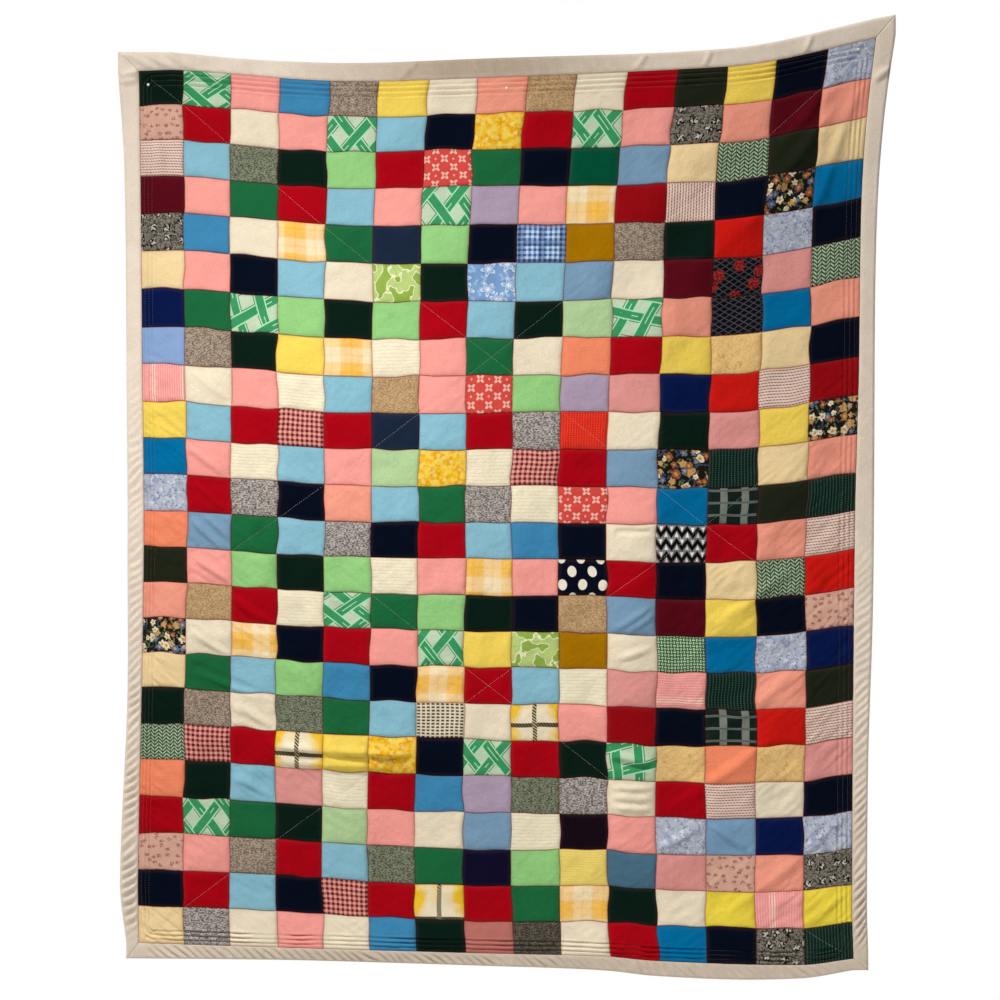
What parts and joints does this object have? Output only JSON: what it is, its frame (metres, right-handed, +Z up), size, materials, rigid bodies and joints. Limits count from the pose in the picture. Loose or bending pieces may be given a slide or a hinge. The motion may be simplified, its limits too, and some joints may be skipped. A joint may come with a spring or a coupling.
{
  "type": "patchwork quilt with hanging pins",
  "caption": "Rectangular patchwork quilt of small double-knit patches in a plain mitred cloth border, pinned up by its top edge and hanging face-on in soft folds.",
  "frame": {"origin": "middle of the quilt's top edge, on the wall plane behind it", "axes": "+Z up; +X to the viewer's right along the top edge; +Y from the quilt's face through to the wall behind it"},
  "size_m": [1.858, 0.0402, 2.3013],
  "materials": {
    "patchwork_cloth": "matt double-knit patches of many colours",
    "border_cloth": "matt cream woven cloth",
    "pin_enamel": "glossy pin head"
  },
  "bodies": {
    "root": {"patchwork_panel": "patchwork_cloth", "border_top": "border_cloth", "border_bottom": "border_cloth", "border_left": "border_cloth", "border_right": "border_cloth", "pin_left": "pin_enamel", "pin_middle": "pin_enamel", "pin_right": "pin_enamel"}
  },
  "joints": []
}
